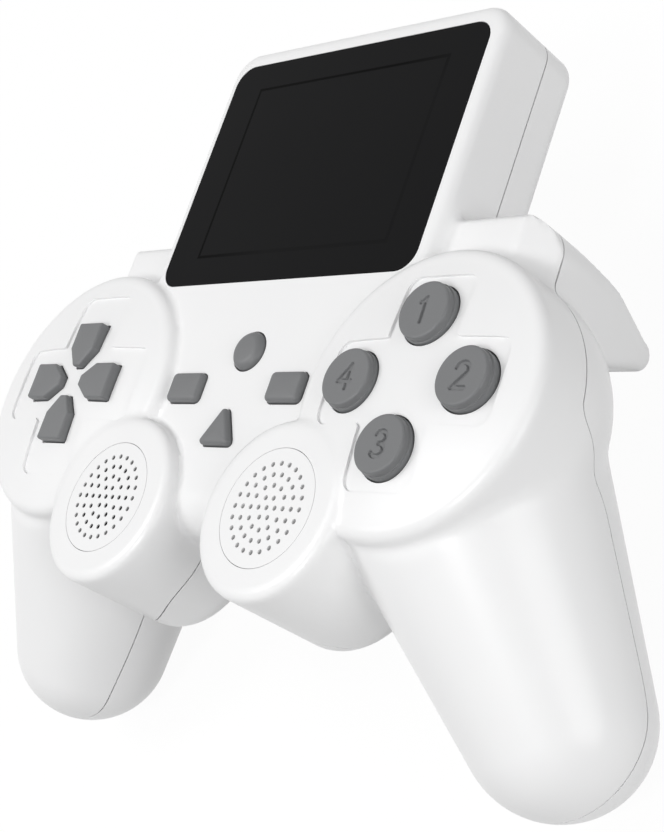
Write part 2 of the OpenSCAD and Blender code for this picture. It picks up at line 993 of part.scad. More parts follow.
module volume_button() {
  color("gray")
    placed()
      at_volume() {
        key_body(-wall, middle_top)
          volume_outline(0);
        key_rim(-wall)
          volume_outline(key_flange);
      }
}

module up_key() {
  direction_key(0);
}

module left_key() {
  direction_key(90);
}

module down_key() {
  direction_key(180);
}

module right_key() {
  direction_key(270);
}

module top_button() {
  round_button(0);
}

module inner_button() {
  round_button(90);
}

module bottom_button() {
  round_button(180);
}

module outer_button() {
  round_button(270);
}

module select_button() {
  bar_button(-1);
}

module start_button() {
  bar_button(1);
}

// Grille disc: rings of holes, of which the first ones go right through
module grille(side, through) {
  color("white")
    placed()
      translate([side * pod_x, -pod_drop, pod_floor])
        difference() {
          cylinder(h = grille_t, r = grille_r);
          for (ring = [0 : hole_rings], i = [0 : max(6 * ring, 1) - 1])
            rotate(360 * i / max(6 * ring, 1))
              translate([ring * hole_pitch, 0, ring <= through ? -1 : grille_t / 2])
                cylinder(h = grille_t + 2, r = hole_r, $fn = 16);
        }
}

module speaker_grille() {
  grille(-1, open_rings);
}

module dummy_grille() {
  grille(1, -1);
}

module speaker() {
  color("dimgray")
    placed()
      translate([-pod_x, -pod_drop, pod_inside - speaker_h]) {
        translate([0, 0, 1.6])
          cylinder(h = speaker_h - 1.6, r = speaker_r);
        cylinder(h = 2, r = speaker_r * 0.6);
      }
}

module battery() {
  color("steelblue")
    placed()
      translate([0, battery_low + battery_h / 2, battery_back])
        linear_extrude(battery_t)
          round_rect(battery_w, battery_h, 1.5);
}

module battery_contacts() {
  contact_w = 14;
  contact_t = 2;
  color("goldenrod")
    placed()
      translate([-contact_w / 2, battery_low - contact_t - seat_gap, battery_back + 1])
        cube([contact_w, contact_t, board_back - battery_back - 1]);
}

module battery_door() {
  color("white")
    placed() {
      difference() {
        intersection() {
          difference() {
            body_form(0);
            body_form(wall);
          }
          door_cut(-door_gap);
        }
      }
      both_sides()
        translate([door_half_w - door_gap - door_rail_t, -door_drop + 1, rear_inside + seat_gap])
          cube([door_rail_t + door_gap + door_flange, door_flange_run, door_flange_t]);
      both_sides()
        translate([door_half_w - door_gap - door_rail_t, -door_drop + 1, rear_inside - seat_gap])
          cube([door_rail_t, door_flange_run, door_flange_t]);
    }
}

module power_switch() {
  color("silver")
    placed()
      difference() {
        translate([switch_x + switch_travel / 2 - switch_w / 2, block_top - wall - 0.6 - switch_l, board_back - switch_h])
          cube([switch_w, switch_l, switch_h]);
        translate([switch_x - knob_w / 2 - 0.3, block_top - wall - 2.2, board_back - switch_h / 2 - knob_t / 2 - 0.2])
          cube([knob_w + switch_travel + 0.6, far, knob_t + 0.4]);
      }
}

module power_knob() {
  color("dimgray")
    placed()
      translate([switch_x - knob_w / 2, block_top - wall - 2, board_back - switch_h / 2 - knob_t / 2])
        cube([knob_w, wall + 1.8, knob_t]);
}

module charge_socket() {
  color("silver")
    placed()
      translate([0, board_upper, board_back - socket_h / 2])
        rotate([-90, 0, 0])
          difference() {
            linear_extrude(socket_l)
              round_rect(socket_w, socket_h, 1.2);
            translate([0, 0, 1])
              linear_extrude(socket_l)
                round_rect(socket_w - 0.7, socket_h - 0.7, 1);
          }
}

module shell_screws() {
  color("gainsboro")
    placed()
      both_sides()
        for (p = shell_screw_spots)
          translate([p[0], p[1], seam_at(p) - boss_seat]) {
            cylinder(h = screw_l - 0.5, r = screw_r);
            translate([0, 0, -screw_head_h])
              difference() {
                cylinder(h = screw_head_h, r = screw_head_r);
                for (turn = [0, 90])
                  rotate(turn)
                    translate([-screw_r, -0.25, -1])
                      cube([2 * screw_r, 0.5, 1.6]);
              }
          }
}

module board_screws() {
  color("gainsboro")
    placed()
      both_sides()
        for (p = board_screw_spots)
          translate([p[0], p[1], board_back]) {
            cylinder(h = board_screw_l, r = screw_r);
            translate([0, 0, -screw_head_h])
              cylinder(h = screw_head_h, r = screw_head_r);
          }
}

front_shell();
rear_shell();
screen_lens();
lcd_panel();
lcd_tray();
lcd_holder();
lcd_ribbon();
main_board();
processor_blob();
dpad_membrane();
face_membrane();
middle_membrane();
up_key();
down_key();
left_key();
right_key();
top_button();
bottom_button();
inner_button();
outer_button();
reset_button();
select_button();
start_button();
volume_button();
speaker_grille();
dummy_grille();
speaker();
battery();
battery_contacts();
battery_door();
power_switch();
power_knob();
charge_socket();
shell_screws();
board_screws();
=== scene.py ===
import json
import math

import bpy
import numpy as np
import openvdb
from mathutils import Matrix, Vector


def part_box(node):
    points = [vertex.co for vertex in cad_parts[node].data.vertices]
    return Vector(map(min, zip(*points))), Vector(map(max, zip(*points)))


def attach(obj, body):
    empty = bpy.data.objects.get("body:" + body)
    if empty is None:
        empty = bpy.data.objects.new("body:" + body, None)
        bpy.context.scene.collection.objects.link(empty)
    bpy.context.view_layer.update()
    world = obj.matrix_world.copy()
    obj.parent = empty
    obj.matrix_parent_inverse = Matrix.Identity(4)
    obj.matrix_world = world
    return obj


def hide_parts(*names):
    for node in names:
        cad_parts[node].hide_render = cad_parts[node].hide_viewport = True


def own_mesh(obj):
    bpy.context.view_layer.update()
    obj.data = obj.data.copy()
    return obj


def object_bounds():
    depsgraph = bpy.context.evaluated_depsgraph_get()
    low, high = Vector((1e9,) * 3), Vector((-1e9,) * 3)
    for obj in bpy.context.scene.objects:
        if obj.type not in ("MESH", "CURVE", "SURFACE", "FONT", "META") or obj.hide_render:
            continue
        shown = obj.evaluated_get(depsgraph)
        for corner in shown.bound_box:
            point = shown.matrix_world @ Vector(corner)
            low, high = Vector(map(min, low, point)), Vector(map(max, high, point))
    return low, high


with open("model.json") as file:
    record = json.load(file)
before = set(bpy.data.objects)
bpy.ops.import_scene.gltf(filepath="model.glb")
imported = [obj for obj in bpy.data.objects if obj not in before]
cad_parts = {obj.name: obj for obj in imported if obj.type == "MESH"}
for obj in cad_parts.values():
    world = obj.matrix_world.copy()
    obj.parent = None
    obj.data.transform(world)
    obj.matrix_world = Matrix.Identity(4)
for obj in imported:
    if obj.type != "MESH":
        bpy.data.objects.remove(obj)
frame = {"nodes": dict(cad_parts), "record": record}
cad_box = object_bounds()
scene = bpy.context.scene

# The shapes below are in mm from the middle of the lens's front face: X right, Y up the screen, Z to the front
lens_lo, lens_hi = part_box("screen_lens")
ORIGIN = np.array([(lens_lo.x + lens_hi.x) / 2, (lens_lo.y + lens_hi.y) / 2, lens_hi.z])
MM = 0.001
FAR, TINY = 1e9, 1e-6

# Screen block and lens: these sizes and those of the other forms below are the CAD source's
LENS_W, LENS_H, LENS_R = 66.9, 48.8, 4.2
BLOCK_HALF_W, BLOCK_TOP, BLOCK_FOOT, BLOCK_DEPTH = 36.05, 28.2, -34.3, 20.5
BLOCK_CORNER, BLOCK_EDGE = 6.0, 2.3

# Middle of the body
BODY_HALF_W, BODY_FOOT, BODY_DEPTH = 28.0, -72.0, 21.5
BODY_CORNER, BODY_FOOT_R = 0.4, 7.0

# Round key pads, domed in front and with a belly behind; the two meet at the waist
PAD_X, PAD_Y, PAD_R = 44.5, -47.0, 25.4
PAD_RISE, PAD_EDGE, PAD_DOME, PAD_RIM = 2.0, 2.3, 1.7, 0.4
PAD_FACE_R = PAD_R - PAD_EDGE - PAD_RIM
PAD_WAIST = -5.0
BELLY_DEPTH, BELLY_R = 28.0, 17.0

# Speaker pods
POD_X, POD_Y, POD_R = 21.8, -68.5, 16.0
POD_RISE, POD_DEPTH, POD_EDGE, POD_FOOT_R = 2.8, 24.0, 1.6, 4.0
POD_WAIST = -6.0
GRILLE_R = 10.5

# Grips: round cones, level in front under the pads
GRIP_ROOT, GRIP_TIP = np.array([44.5, -52.8, -13.8]), np.array([61.2, -87.1, -34.3])
GRIP_ROOT_R, GRIP_TIP_R, GRIP_LID = 22.9, 15.5, -1.0
GRIP_RUN = GRIP_TIP - GRIP_ROOT
GRIP_FLAT = math.hypot(GRIP_RUN[0], GRIP_RUN[1])
GRIP_SLOPE = GRIP_RUN[2] / GRIP_FLAT

# Dummy shoulders: a side view in Y and Z drawn in by its rounding, a round tongue behind and a facet on the outer edge
SHOULDER_IN, SHOULDER_X = 32.05, 57.0
SHOULDER_EDGE, SHOULDER_CORNER, SHOULDER_ROUND = 1.6, 7.0, 0.6
SHOULDER_SIDE = [(-14.2, -4.1), (-30.0, -4.1), (-29.4, -25.8), (-25.8, -34.2), (-21.4, -34.2),
                 (-17.0, -24.5), (-14.4, -12.0), (-13.4, -4.9)]
SHOULDER_TOP = SHOULDER_SIDE[-1][0] + SHOULDER_ROUND
TONGUE_Y, TONGUE_Z, TONGUE_R = -23.6, -34.2, 2.8
FACET_X, FACET_Z, FACET_FALL = 51.2, -3.5, 5.2

# Widths of the soft blends between these forms
ROUND_BLEND, SHOULDER_BLEND, GRIP_BLEND, LID_BLEND, FACET_BLEND = 0.9, 1.6, 1.2, 1.5, 0.5

# Parting line: level round the block, nearer the front along the sides, falling back along the grips and on the pods
SEAM, SIDE_SEAM, SEAM_START, SEAM_LEVEL = -12.3, -9.0, -14.4, -36.1
SEAM_BEND, SEAM_FALL = 4.6, 1.8
POD_SEAM_FALL, POD_SEAM_LIFT, POD_SEAM_IN = 0.6, 1.7, 0.7 * POD_R
LIFT_ABOVE_FOOT, LIFT_RUN = 16.0, 6.0
SEAM_STEP = 0.6
SEAM_SOFT, BEND_SOFT, POD_SEAM_SOFT, LEAST_SOFT = 3.0, 5.0, 2.0, 0.01
SEAM_GAP = 0.14

# Walls and meshes
SHELL_T = 1.4
KEY_GAP, FIT_GAP = 0.25, 0.1
VOXEL, SNAP = 0.75, 0.16
SHARP_ANGLE = math.radians(35)


def to_world(points):
    return np.asarray(points) * MM + ORIGIN


# Camera, fitted to the lens, the pads, the pods and the keys
CAMERA_LENS, CAMERA_SENSOR = 77.86, 36
CAMERA_EYE = (240.1, -133.4, 182.9)
CAMERA_LOOK, CAMERA_UP = (-0.7288, 0.2815, -0.6242), (-0.0085, 0.9078, 0.4193)
camera_data = bpy.data.cameras.new("camera")
camera_data.sensor_width = CAMERA_SENSOR
camera_data.lens = CAMERA_LENS
camera = bpy.data.objects.new("camera", camera_data)
scene.collection.objects.link(camera)
look = Vector(CAMERA_LOOK).normalized()
right = look.cross(Vector(CAMERA_UP)).normalized()
up = right.cross(look)
eye = to_world(CAMERA_EYE)
camera.matrix_world = Matrix((
    (right.x, up.x, -look.x, eye[0]),
    (right.y, up.y, -look.y, eye[1]),
    (right.z, up.z, -look.z, eye[2]),
    (0, 0, 0, 1)))
scene.camera = camera
scene.view_settings.view_transform = "Standard"


# Distance fields: negative inside
def soft_min(a, b, k):
    h = np.maximum(k - np.abs(a - b), 0) / k
    return np.minimum(a, b) - h * h * k / 4


def soft_max(a, b, k):
    return -soft_min(-a, -b, k)


def corner(a, b, r):
    """Where both fields are negative, with the edge between them rounded."""
    a = a + r
    b = b + r
    return np.minimum(np.maximum(a, b), 0) + np.hypot(np.maximum(a, 0), np.maximum(b, 0)) - r


def rect(x, y, half_w, half_h, r):
    return corner(np.abs(x) - half_w, np.abs(y) - half_h, r)


def slab(x, y, z, half_w, y_lo, y_hi, depth, plan_r, edge):
    plan = rect(x, y - (y_lo + y_hi) / 2, half_w, (y_hi - y_lo) / 2, plan_r)
    return corner(plan, np.abs(z + depth / 2) - depth / 2, edge)


def round_cone(x, y, z, a, b, r_a, r_b):
    """Hull of two balls."""
    run = b - a
    l2 = run @ run
    rr = r_a - r_b
    a2 = l2 - rr * rr
    px, py, pz = x - a[0], y - a[1], z - a[2]
    along = px * run[0] + py * run[1] + pz * run[2]
    beyond = along - l2
    across = ((px * l2 - along * run[0]) ** 2 + (py * l2 - along * run[1]) ** 2
              + (pz * l2 - along * run[2]) ** 2)
    along2, beyond2 = along * along * l2, beyond * beyond * l2
    k = rr * abs(rr) * across
    side = (np.sqrt(across * a2 / l2) + along * rr) / l2 - r_a
    d = np.where(np.sign(along) * a2 * along2 < k, np.sqrt(across + along2) / l2 - r_a, side)
    return np.where(np.sign(beyond) * a2 * beyond2 > k, np.sqrt(across + beyond2) / l2 - r_b, d)


def polygon(x, y, points):
    d = np.full(np.broadcast(x, y).shape, FAR)
    inside = np.ones(d.shape)
    for i in range(len(points)):
        ax, ay = points[i]
        bx, by = points[i - 1]
        ex, ey = bx - ax, by - ay
        wx, wy = x - ax, y - ay
        t = np.clip((wx * ex + wy * ey) / (ex * ex + ey * ey), 0, 1)
        d = np.minimum(d, (wx - ex * t) ** 2 + (wy - ey * t) ** 2)
        above, below, left = y >= ay, y < by, ex * wy > ey * wx
        flip = (above & below & left) | (~above & ~below & ~left)
        inside = np.where(flip, -inside, inside)
    return inside * np.sqrt(d)


def drum(x, y, z, place, r, waist, front, edge, depth, foot_r):
    """Upright cylinder with one edge radius in front of the waist and another behind it."""
    rho = np.hypot(x - place[0], y - place[1])
    return np.where(z > waist, corner(rho - r, z - front(rho), edge), corner(rho - r, -depth - z, foot_r))


def pad_face(rho):
    """Height of a pad's domed face."""
    return PAD_RISE + np.maximum(PAD_DOME * (1 - (rho / PAD_FACE_R) ** 2), 0)


def pod_face(rho):
    """Height of a pod's flat face."""
    return POD_RISE


def shoulder(x, y, z):
    d = polygon(y, z, SHOULDER_SIDE) - SHOULDER_ROUND
    d = np.minimum(d, np.hypot(y - TONGUE_Y, z - TONGUE_Z) - TONGUE_R)
    half = (SHOULDER_X - SHOULDER_IN) / 2
    d = corner(d, np.abs(x - SHOULDER_IN - half) - half, SHOULDER_EDGE)
    facet_w = SHOULDER_X - FACET_X
    facet = ((x - FACET_X) * FACET_FALL + (z - FACET_Z) * facet_w) / math.hypot(FACET_FALL, facet_w)
    d = soft_max(d, facet, FACET_BLEND)
    return np.maximum(d, corner(x - SHOULDER_X, y - SHOULDER_TOP, SHOULDER_CORNER))


def body(x, y, z):
    """Outside of the closed console."""
    x = np.abs(x)
    d = slab(x, y, z, BLOCK_HALF_W, BLOCK_FOOT, BLOCK_TOP, BLOCK_DEPTH, BLOCK_CORNER, BLOCK_EDGE)
    d = np.minimum(d, slab(x, y, z, BODY_HALF_W, BODY_FOOT, -LENS_H / 2, BODY_DEPTH, BODY_CORNER, BODY_FOOT_R))
    pad = drum(x, y, z, (PAD_X, PAD_Y), PAD_R, PAD_WAIST, pad_face, PAD_EDGE, BELLY_DEPTH, BELLY_R)
    d = soft_min(d, pad, ROUND_BLEND)
    d = soft_min(d, shoulder(x, y, z), SHOULDER_BLEND)
    grip = round_cone(x, y, z, GRIP_ROOT, GRIP_TIP, GRIP_ROOT_R, GRIP_TIP_R)
    grip = soft_max(grip, z - GRIP_LID, LID_BLEND)
    d = soft_min(d, grip, GRIP_BLEND)
    pod = drum(x, y, z, (POD_X, POD_Y), POD_R, POD_WAIST, pod_face, POD_EDGE, POD_DEPTH, POD_FOOT_R)
    return soft_min(d, pod, ROUND_BLEND)


def seam(x, y, z):
    """Height in front of the parting line."""
    x = np.abs(x)
    s = ((x - GRIP_ROOT[0]) * GRIP_RUN[0] + (y - GRIP_ROOT[1]) * GRIP_RUN[1]) / GRIP_FLAT
    line = soft_max(SEAM_START + GRIP_SLOPE * s, SEAM_LEVEL, SEAM_SOFT)
    line = soft_max(line, SIDE_SEAM - SEAM_FALL * (s - SEAM_BEND), BEND_SOFT)
    level = SEAM + POD_SEAM_LIFT * np.clip((BODY_FOOT + LIFT_ABOVE_FOOT - y) / LIFT_RUN, 0, 1)
    line = soft_max(line, level - POD_SEAM_FALL * (x - POD_X + POD_SEAM_IN), POD_SEAM_SOFT)
    line = soft_min(line, SIDE_SEAM, SEAM_SOFT)
    mid = np.clip((BLOCK_HALF_W + SEAM_STEP - x) / SEAM_STEP, 0, 1)
    return z - soft_min(line, SIDE_SEAM + (level - SIDE_SEAM) * mid, SEAM_SOFT * mid + LEAST_SOFT)


# Tools on triangle meshes: points in mm, triangles as index rows
SLOPE_STEP, LEAST_SLOPE = 0.02, 0.2
SURFACE_MOVE, LINE_MOVE, MOVE_ROUNDS = 0.6, 0.25, 4


def at(field, p):
    return field(p[:, 0], p[:, 1], p[:, 2])


def gradient(field, p):
    g = np.empty_like(p)
    for axis in range(3):
        shift = np.zeros(3)
        shift[axis] = SLOPE_STEP
        g[:, axis] = (at(field, p + shift) - at(field, p - shift)) / (2 * SLOPE_STEP)
    return g


def move_to_zero(p, value, slope, most):
    step = np.clip(value, -most, most)[:, None]
    return p - step * slope / np.maximum((slope * slope).sum(1), LEAST_SLOPE)[:, None]


def settle(p, field, rounds=MOVE_ROUNDS):
    """Moves points onto the surface field = 0."""
    for _ in range(rounds):
        p = move_to_zero(p, at(field, p), gradient(field, p), SURFACE_MOVE)
    return p


def onto_line(p, field, surface):
    """Moves points to field = 0 along the surface, or along their level where the surface is None."""
    for _ in range(MOVE_ROUNDS):
        slope = gradient(field, p)
        if surface is None:
            slope[:, 2] = 0
        else:
            n = gradient(surface, p)
            n /= np.maximum(np.linalg.norm(n, axis=1), TINY)[:, None]
            slope = slope - (slope * n).sum(1)[:, None] * n
        p = move_to_zero(p, at(field, p), slope, LINE_MOVE)
        if surface is not None:
            p = settle(p, surface, 1)
    return p


def split(points, tris, field, surface, snap):
    """Splits the triangles along field = 0 and returns the points, the triangles where it is positive and the rest."""
    points = points.copy()
    f = at(field, points)
    near = np.unique(tris)
    near = near[np.abs(f[near]) < snap]
    if len(near):
        points[near] = onto_line(points[near], field, surface)
        f[near] = 0
    sign = np.sign(f).astype(int)
    ts = sign[tris]
    mixed = (ts.max(1) > 0) & (ts.min(1) < 0)
    on_line = (ts == 0).all(1)
    positive = (ts.max(1) > 0) | (on_line & (at(field, points[tris].mean(1)) > 0))
    upper = tris[~mixed & positive].tolist()
    lower = tris[~mixed & ~positive].tolist()
    cuts = {}
    made = []

    def cut(a, b):
        key = (a, b) if a < b else (b, a)
        if key not in cuts:
            cuts[key] = len(points) + len(made)
            t = f[key[0]] / (f[key[0]] - f[key[1]])
            made.append(points[key[0]] * (1 - t) + points[key[1]] * t)
        return cuts[key]

    for tri in tris[mixed]:
        for turn in range(3):
            a, b, c = (int(tri[(turn + i) % 3]) for i in range(3))
            if sign[a] == 0:
                p = cut(b, c)
                (upper if sign[b] > 0 else lower).append([a, b, p])
                (upper if sign[c] > 0 else lower).append([a, p, c])
                break
            if sign[b] == sign[c]:
                p, q = cut(a, b), cut(a, c)
                (upper if sign[a] > 0 else lower).append([a, p, q])
                (upper if sign[b] > 0 else lower).extend([[p, b, c], [p, c, q]])
                break
    if made:
        points = np.vstack([points, onto_line(np.array(made), field, surface)])
    return points, np.array(upper, int).reshape(-1, 3), np.array(lower, int).reshape(-1, 3)


def compact(points, tris):
    used, inverse = np.unique(tris, return_inverse=True)
    return points[used], inverse.reshape(-1, 3)


def rim(tris):
    """Directed boundary edges of a sheet."""
    edges = np.concatenate([tris[:, [0, 1]], tris[:, [1, 2]], tris[:, [2, 0]]])
    key = np.sort(edges, axis=1)
    _, first, count = np.unique(key, axis=0, return_index=True, return_counts=True)
    return edges[first[count == 1]]


def thicken(points, tris, inner):
    """Closed solid between a sheet and its inner points."""
    n = len(points)
    edge = rim(tris)
    a, b = edge[:, 0], edge[:, 1]
    walls = np.concatenate([np.stack([b, a, a + n], 1), np.stack([b, a + n, b + n], 1)])
    return np.vstack([points, inner]), np.concatenate([tris, tris[:, ::-1] + n, walls])


def join(*solids):
    points, tris, base = [], [], 0
    for p, t in solids:
        points.append(p)
        tris.append(np.asarray(t) + base)
        base += len(p)
    return np.vstack(points), np.concatenate(tris)


def add_piece(name, points, faces, body_name, slot, node):
    mesh = bpy.data.meshes.new(name)
    mesh.from_pydata(to_world(points).tolist(), [], [list(map(int, f)) for f in faces])
    mesh.validate()
    mesh.polygons.foreach_set("use_smooth", [True] * len(mesh.polygons))
    mesh.set_sharp_from_angle(angle=SHARP_ANGLE)
    piece = bpy.data.objects.new(name, mesh)
    scene.collection.objects.link(piece)
    mesh.materials.append(MATERIALS[slot])
    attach(piece, body_name)
    if node:
        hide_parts(node)
    return piece


# Shader nodes
def add_node(tree, kind, values=None, **settings):
    """New node with its inputs set, or linked where the value is another node's output."""
    node = tree.nodes.new("ShaderNode" + kind)
    for name, value in settings.items():
        setattr(node, name, value)
    for key, value in (values or {}).items():
        if isinstance(value, bpy.types.NodeSocket):
            tree.links.new(value, node.inputs[key])
        else:
            node.inputs[key].default_value = value
    return node


def calc(tree, operation, *values):
    return add_node(tree, "Math", dict(enumerate(values)), operation=operation).outputs[0]


def map_range(tree, value, start, end, first=0.0, last=1.0):
    values = {"Value": value, "From Min": start, "From Max": end, "To Min": first, "To Max": last}
    return add_node(tree, "MapRange", values).outputs["Result"]


def colour_mix(tree, factor, a, b):
    return add_node(tree, "Mix", {"Factor": factor, "A": a, "B": b}, data_type="RGBA").outputs["Result"]


def object_axes(tree):
    return add_node(tree, "SeparateXYZ", {"Vector": add_node(tree, "TexCoord").outputs["Object"]}).outputs


def base_colour(mat):
    return mat.node_tree.nodes["Principled BSDF"].inputs["Base Color"]


# Materials: a cloudy tint between two near colours, and a fine grain in gloss and relief
CLOUD_SCALE, CLOUD_DETAIL, GRAIN_DETAIL = 45.0, 4, 3
GLOSS_SPREAD, GRAIN_RELIEF = 0.05, 0.0001


def material(slot, dark, light, rough, grain=2200.0, bump=0.04, metallic=0.0, specular=0.5):
    mat = bpy.data.materials.new(slot)
    mat.use_nodes = True
    tree = mat.node_tree
    place = add_node(tree, "TexCoord").outputs["Object"]
    cloud = add_node(tree, "TexNoise", {"Vector": place, "Scale": CLOUD_SCALE, "Detail": CLOUD_DETAIL}).outputs["Fac"]
    fine = add_node(tree, "TexNoise", {"Vector": place, "Scale": grain, "Detail": GRAIN_DETAIL}).outputs["Fac"]
    gloss = map_range(tree, fine, 0.0, 1.0, rough - GLOSS_SPREAD, rough + GLOSS_SPREAD)
    relief = add_node(tree, "Bump", {"Height": fine, "Strength": bump, "Distance": GRAIN_RELIEF})
    shader = tree.nodes["Principled BSDF"]
    shader.inputs["Metallic"].default_value = metallic
    shader.inputs["Specular IOR Level"].default_value = specular
    tree.links.new(colour_mix(tree, cloud, (*dark, 1), (*light, 1)), base_colour(mat))
    tree.links.new(gloss, shader.inputs["Roughness"])
    tree.links.new(relief.outputs["Normal"], shader.inputs["Normal"])
    return mat


MATERIALS = {
    "shell": material("shell", (0.86, 0.86, 0.865), (0.89, 0.89, 0.89), 0.3, specular=0.4),
    "key": material("key", (0.145, 0.148, 0.152), (0.165, 0.168, 0.172), 0.45, grain=3000, bump=0.12, specular=0.4),
    "lens": material("lens", (0.0095, 0.0095, 0.01), (0.011, 0.011, 0.0115), 0.12, bump=0.0, specular=0.02),
    "display": material("display", (0.008, 0.008, 0.011), (0.012, 0.012, 0.015), 0.15, specular=0.3),
    "steel": material("steel", (0.55, 0.55, 0.56), (0.66, 0.66, 0.67), 0.32, grain=900, bump=0.15, metallic=1.0),
    "holder": material("holder", (0.12, 0.12, 0.125), (0.15, 0.15, 0.155), 0.5, bump=0.15),
    "ribbon": material("ribbon", (0.42, 0.2, 0.04), (0.5, 0.26, 0.06), 0.35, grain=600),
    "board": material("board", (0.02, 0.13, 0.05), (0.03, 0.17, 0.07), 0.4, grain=1500, bump=0.2),
    "resin": material("resin", (0.012, 0.012, 0.012), (0.025, 0.025, 0.025), 0.3, grain=400, bump=0.3),
    "key_rubber": material("key_rubber", (0.42, 0.42, 0.42), (0.5, 0.5, 0.5), 0.7, bump=0.2),
    "speaker": material("speaker", (0.035, 0.035, 0.037), (0.05, 0.05, 0.052), 0.45, bump=0.2),
    "battery": material("battery", (0.05, 0.1, 0.2), (0.07, 0.13, 0.24), 0.35, grain=800),
    "contact": material("contact", (0.65, 0.45, 0.15), (0.75, 0.55, 0.22), 0.3, metallic=1.0),
}

# The window of the display is painted on the lens as a faint dark line: painted shade of the display's sunken edge,
# fading out towards the lower right where that edge is hidden
WINDOW_HALF_W, WINDOW_HALF_H, WINDOW_LINE = 25.0, 18.4, 0.28
WINDOW_SHADE_COLOUR = (0.001, 0.001, 0.001, 1)
SHADE_FADE_START, SHADE_FADE_END, SHADE_FADE_MOST = -6.0, 12.0, 0.8

lens = MATERIALS["lens"]
tree = lens.node_tree
axes = object_axes(tree)
across = calc(tree, "SUBTRACT", axes["X"], ORIGIN[0])
upward = calc(tree, "SUBTRACT", axes["Y"], ORIGIN[1])
side_x = calc(tree, "SUBTRACT", calc(tree, "ABSOLUTE", across), WINDOW_HALF_W * MM)
side_y = calc(tree, "SUBTRACT", calc(tree, "ABSOLUTE", upward), WINDOW_HALF_H * MM)
off_line = calc(tree, "ABSOLUTE", calc(tree, "MAXIMUM", side_x, side_y))
clear = map_range(tree, off_line, WINDOW_LINE * 0.5 * MM, WINDOW_LINE * 1.5 * MM)
# Painted shade: the dark line fades out towards the lower right
shade_fade = map_range(tree, calc(tree, "SUBTRACT", across, upward), SHADE_FADE_START * MM, SHADE_FADE_END * MM, 0.0, SHADE_FADE_MOST)
tint = base_colour(lens).links[0].from_socket
tree.links.new(colour_mix(tree, calc(tree, "MAXIMUM", clear, shade_fade), WINDOW_SHADE_COLOUR, tint), base_colour(lens))

# Every CAD node takes the material of its slot
node_slots = {part["node"]: part["material_slot"] for part in frame["record"]["subparts"]}
for node, obj in frame["nodes"].items():
    obj.data.materials.clear()
    obj.data.materials.append(MATERIALS[node_slots[node]])

# Grilles: painted shade inside the holes, darkest in the open ones in front of the loudspeaker
OPEN_HOLES_R, BLIND_HOLES_R = 6.6, 7.2
SHADE_START, SHADE_FULL = 0.1, 0.35
for node, open_shade, blind_shade in (("speaker_grille", 0.015, 0.3), ("dummy_grille", 0.6, 0.6)):
    mat = MATERIALS["shell"].copy()
    mat.name = node
    tree = mat.node_tree
    axes = object_axes(tree)
    low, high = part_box(node)
    dx = calc(tree, "SUBTRACT", axes["X"], (low.x + high.x) / 2)
    dy = calc(tree, "SUBTRACT", axes["Y"], (low.y + high.y) / 2)
    rho = calc(tree, "SQRT", calc(tree, "ADD", calc(tree, "MULTIPLY", dx, dx), calc(tree, "MULTIPLY", dy, dy)))
    hole_shade = map_range(tree, rho, OPEN_HOLES_R * MM, BLIND_HOLES_R * MM, open_shade, blind_shade)
    # Painted shade: the colour darkens with depth inside each hole
    shade_depth = map_range(tree, axes["Z"], high.z - SHADE_START * MM, high.z - SHADE_FULL * MM)
    tint = base_colour(mat).links[0].from_socket
    tree.links.new(colour_mix(tree, shade_depth, tint, hole_shade), base_colour(mat))
    frame["nodes"][node].data.materials[0] = mat

# Outer skin of the two shells, from a grid around the whole console
GRID_HALF_W, GRID_Y, GRID_Z, GRID_FAR = 79.5, (-105.5, 31), (-52.5, 6), 3.0
half_n = int(math.ceil(GRID_HALF_W / VOXEL))
xs = np.arange(-half_n, half_n + 1) * VOXEL
ys = np.arange(*GRID_Y, VOXEL)
zs = np.arange(*GRID_Z, VOXEL)
right_half = xs[xs >= 0]
values = body(right_half[:, None, None], ys[None, :, None], zs[None, None, :]).astype(np.float32)
values = np.concatenate([values[:0:-1], values])
grid = openvdb.FloatGrid(GRID_FAR)
grid.copyFromArray(np.ascontiguousarray(values))
skin, quads = grid.convertToQuads()
skin = np.asarray(skin, float) * VOXEL + np.array([xs[0], ys[0], zs[0]])
quads = np.asarray(quads, int)
skin = settle(skin, body)
tris = np.concatenate([quads[:, [0, 1, 2]], quads[:, [0, 2, 3]]])
a, b, c = (skin[tris[:, i]] for i in range(3))
facing = (np.cross(b - a, c - a) * gradient(body, (a + b + c) / 3)).sum()
if facing < 0:
    tris = tris[:, ::-1]
skin, front, rest = split(skin, tris, lambda x, y, z: seam(x, y, z) - SEAM_GAP, body, SNAP)
skin, _, rear = split(skin, rest, lambda x, y, z: seam(x, y, z) + SEAM_GAP, body, SNAP)

# Sizes of the keys and their openings
KEYS_Y, PLUS_HALF_W, PLUS_REACH, PLUS_CORNER, PLUS_DEPTH = -46.05, 7.5, 18.8, 2.4, 0.5
DKEY_HALF_W, DKEY_OUT, DKEY_EAVES, DKEY_TIP, DKEY_TIP_HALF_W = 3.6, 12.2, 6.7, 3.1, 1.0
BUTTON_UP, BUTTON_ACROSS, BUTTON_R = 11.5, 12.5, 5.35
RESET_Y, RESET_R = -38.7, 3.7
SELECT_X, SELECT_Y, SELECT_W, SELECT_H, SELECT_CORNER = 13.4, -45.9, 8.4, 5.6, 1.0
VOLUME_Y, VOLUME_R, VOLUME_CORNER = -54.4, 5.0, 0.7

